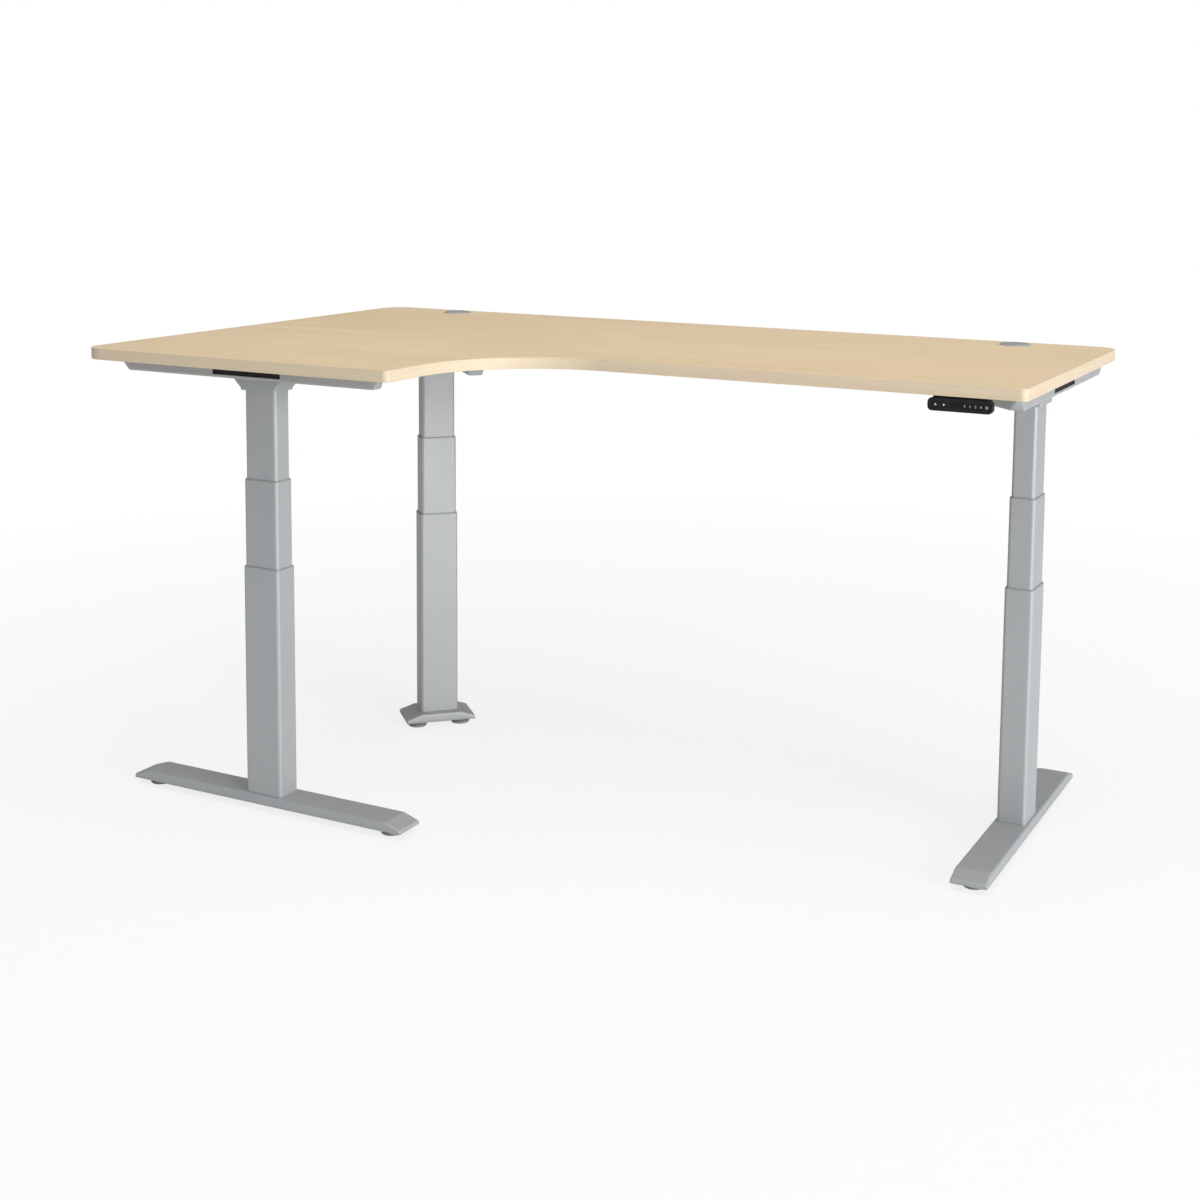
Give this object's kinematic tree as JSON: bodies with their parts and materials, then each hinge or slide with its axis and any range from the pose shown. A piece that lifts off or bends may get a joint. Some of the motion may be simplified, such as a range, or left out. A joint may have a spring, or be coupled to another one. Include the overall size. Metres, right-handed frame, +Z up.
{
  "type": "height adjustable standing desk",
  "caption": "L-shaped sit-stand desk: curved-edge wood-look top on telescopic electric columns with flat feet, a keypad under the front edge and round cable grommets.",
  "frame": {"origin": "on the floor, below the middle of the desktop's outer rectangle", "axes": "+X along the long back edge towards the main wing's end, +Y towards the back edge, +Z up; the return wing runs towards -Y at the -X side"},
  "size_m": [1.8, 1.1, 0.923],
  "materials": {
    "steel_painted": "satin powder coat",
    "steel_bare": "machined",
    "steel_zinc": "zinc plated",
    "plastic_grey": "satin",
    "plastic_black": "matte",
    "board": "solder mask",
    "laminate": "maple-look laminate",
    "band": "maple-look edge band"
  },
  "bodies": {
    "base": {"left_foot": "steel_painted", "right_foot": "steel_painted", "corner_foot": "steel_painted", "left_outer_column": "steel_painted", "right_outer_column": "steel_painted", "corner_outer_column": "steel_painted", "column_bolts": "steel_zinc", "outer_guides": "plastic_grey", "nut_posts": "steel_zinc"},
    "top": {"desktop": "laminate", "edge_band": "band", "grommet_rings": "plastic_grey", "left_inner_column": "steel_painted", "right_inner_column": "steel_painted", "corner_inner_column": "steel_painted", "column_heads": "steel_painted", "gear_motors": "steel_zinc", "left_end_bracket": "steel_painted", "right_end_bracket": "steel_painted", "corner_bracket": "steel_painted", "slot_inserts": "plastic_black", "main_rails": "steel_painted", "return_rails": "steel_painted", "frame_screws": "steel_zinc", "control_box": "plastic_black", "control_box_lid": "plastic_black", "circuit_board": "board", "power_inlet": "plastic_black", "keypad_case": "plastic_black", "keypad_fascia": "plastic_black"},
    "left_middle": {"left_middle_column": "steel_painted", "left_middle_guide": "plastic_grey", "left_spindle_carrier": "steel_bare"},
    "right_middle": {"right_middle_column": "steel_painted", "right_middle_guide": "plastic_grey", "right_spindle_carrier": "steel_bare"},
    "corner_middle": {"corner_middle_column": "steel_painted", "corner_middle_guide": "plastic_grey", "corner_spindle_carrier": "steel_bare"},
    "left_hollow_spindle": {"left_hollow_spindle": "steel_bare"},
    "left_drive_spindle": {"left_drive_spindle": "steel_bare"},
    "right_hollow_spindle": {"right_hollow_spindle": "steel_bare"},
    "right_drive_spindle": {"right_drive_spindle": "steel_bare"},
    "corner_hollow_spindle": {"corner_hollow_spindle": "steel_bare"},
    "corner_drive_spindle": {"corner_drive_spindle": "steel_bare"},
    "left_foot_wall_glide": {"left_foot_wall_glide": "plastic_grey"},
    "left_foot_user_glide": {"left_foot_user_glide": "plastic_grey"},
    "right_foot_back_glide": {"right_foot_back_glide": "plastic_grey"},
    "right_foot_front_glide": {"right_foot_front_glide": "plastic_grey"},
    "corner_foot_back_glide": {"corner_foot_back_glide": "plastic_grey"},
    "corner_foot_front_glide": {"corner_foot_front_glide": "plastic_grey"},
    "left_grommet_cap": {"left_grommet_cap": "plastic_grey"},
    "right_grommet_cap": {"right_grommet_cap": "plastic_grey"},
    "up_button": {"up_button": "plastic_black"},
    "down_button": {"down_button": "plastic_black"},
    "preset_1_button": {"preset_1_button": "plastic_black"},
    "preset_2_button": {"preset_2_button": "plastic_black"},
    "preset_3_button": {"preset_3_button": "plastic_black"},
    "preset_4_button": {"preset_4_button": "plastic_black"},
    "memory_button": {"memory_button": "plastic_black"}
  },
  "joints": [
    {"name": "lift", "type": "slide", "parent": "base", "child": "top", "axis": [0, 0, 1], "range_m": [-0.27, 0.38]},
    {"name": "left_middle_slide", "type": "slide", "parent": "base", "child": "left_middle", "axis": [0, 0, 1], "range_m": [-0.135, 0.19]},
    {"name": "right_middle_slide", "type": "slide", "parent": "base", "child": "right_middle", "axis": [0, 0, 1], "range_m": [-0.135, 0.19]},
    {"name": "corner_middle_slide", "type": "slide", "parent": "base", "child": "corner_middle", "axis": [0, 0, 1], "range_m": [-0.135, 0.19]},
    {"name": "left_hollow_spindle_turn", "type": "hinge", "parent": "left_middle", "child": "left_hollow_spindle", "pos_m": [-0.538, -0.422, 0.5], "axis": [0, 0, 1], "range_deg": [-4900, 6900]},
    {"name": "left_drive_spindle_turn", "type": "hinge", "parent": "top", "child": "left_drive_spindle", "pos_m": [-0.538, -0.422, 0.7], "axis": [0, 0, 1], "range_deg": [-4900, 6900]},
    {"name": "right_hollow_spindle_turn", "type": "hinge", "parent": "right_middle", "child": "right_hollow_spindle", "pos_m": [0.816, 0.165, 0.5], "axis": [0, 0, 1], "range_deg": [-4900, 6900]},
    {"name": "right_drive_spindle_turn", "type": "hinge", "parent": "top", "child": "right_drive_spindle", "pos_m": [0.816, 0.165, 0.7], "axis": [0, 0, 1], "range_deg": [-4900, 6900]},
    {"name": "corner_hollow_spindle_turn", "type": "hinge", "parent": "corner_middle", "child": "corner_hollow_spindle", "pos_m": [-0.542, 0.192, 0.5], "axis": [0, 0, 1], "range_deg": [-4900, 6900]},
    {"name": "corner_drive_spindle_turn", "type": "hinge", "parent": "top", "child": "corner_drive_spindle", "pos_m": [-0.542, 0.192, 0.7], "axis": [0, 0, 1], "range_deg": [-4900, 6900]},
    {"name": "left_foot_wall_glide_screw", "type": "slide", "parent": "base", "child": "left_foot_wall_glide", "axis": [0, 0, -1], "range_m": [0, 0.01]},
    {"name": "left_foot_user_glide_screw", "type": "slide", "parent": "base", "child": "left_foot_user_glide", "axis": [0, 0, -1], "range_m": [0, 0.01]},
    {"name": "right_foot_back_glide_screw", "type": "slide", "parent": "base", "child": "right_foot_back_glide", "axis": [0, 0, -1], "range_m": [0, 0.01]},
    {"name": "right_foot_front_glide_screw", "type": "slide", "parent": "base", "child": "right_foot_front_glide", "axis": [0, 0, -1], "range_m": [0, 0.01]},
    {"name": "corner_foot_back_glide_screw", "type": "slide", "parent": "base", "child": "corner_foot_back_glide", "axis": [0, 0, -1], "range_m": [0, 0.01]},
    {"name": "corner_foot_front_glide_screw", "type": "slide", "parent": "base", "child": "corner_foot_front_glide", "axis": [0, 0, -1], "range_m": [0, 0.01]},
    {"name": "left_grommet_cap_turn", "type": "hinge", "parent": "top", "child": "left_grommet_cap", "pos_m": [-0.676, 0.494, 0.92], "axis": [0, 0, 1], "continuous": true},
    {"name": "right_grommet_cap_turn", "type": "hinge", "parent": "top", "child": "right_grommet_cap", "pos_m": [0.697, 0.494, 0.92], "axis": [0, 0, 1], "continuous": true},
    {"name": "up_press", "type": "slide", "parent": "top", "child": "up_button", "axis": [0, 1, 0], "range_m": [0, 0.0008], "stiffness_N_per_m": 600, "springref_m": -0.0005},
    {"name": "down_press", "type": "slide", "parent": "top", "child": "down_button", "axis": [0, 1, 0], "range_m": [0, 0.0008], "stiffness_N_per_m": 600, "springref_m": -0.0005},
    {"name": "preset_1_press", "type": "slide", "parent": "top", "child": "preset_1_button", "axis": [0, 1, 0], "range_m": [0, 0.0008], "stiffness_N_per_m": 600, "springref_m": -0.0005},
    {"name": "preset_2_press", "type": "slide", "parent": "top", "child": "preset_2_button", "axis": [0, 1, 0], "range_m": [0, 0.0008], "stiffness_N_per_m": 600, "springref_m": -0.0005},
    {"name": "preset_3_press", "type": "slide", "parent": "top", "child": "preset_3_button", "axis": [0, 1, 0], "range_m": [0, 0.0008], "stiffness_N_per_m": 600, "springref_m": -0.0005},
    {"name": "preset_4_press", "type": "slide", "parent": "top", "child": "preset_4_button", "axis": [0, 1, 0], "range_m": [0, 0.0008], "stiffness_N_per_m": 600, "springref_m": -0.0005},
    {"name": "memory_press", "type": "slide", "parent": "top", "child": "memory_button", "axis": [0, 1, 0], "range_m": [0, 0.0008], "stiffness_N_per_m": 600, "springref_m": -0.0005}
  ],
  "couplings": [
    {"joint": "left_middle_slide", "follows": "lift", "ratio": 0.5},
    {"joint": "right_middle_slide", "follows": "lift", "ratio": 0.5},
    {"joint": "corner_middle_slide", "follows": "lift", "ratio": 0.5},
    {"joint": "left_hollow_spindle_turn", "follows": "lift", "rad_per_m": 314.16},
    {"joint": "left_drive_spindle_turn", "follows": "lift", "rad_per_m": 314.16},
    {"joint": "right_hollow_spindle_turn", "follows": "lift", "rad_per_m": 314.16},
    {"joint": "right_drive_spindle_turn", "follows": "lift", "rad_per_m": 314.16},
    {"joint": "corner_hollow_spindle_turn", "follows": "lift", "rad_per_m": 314.16},
    {"joint": "corner_drive_spindle_turn", "follows": "lift", "rad_per_m": 314.16}
  ]
}
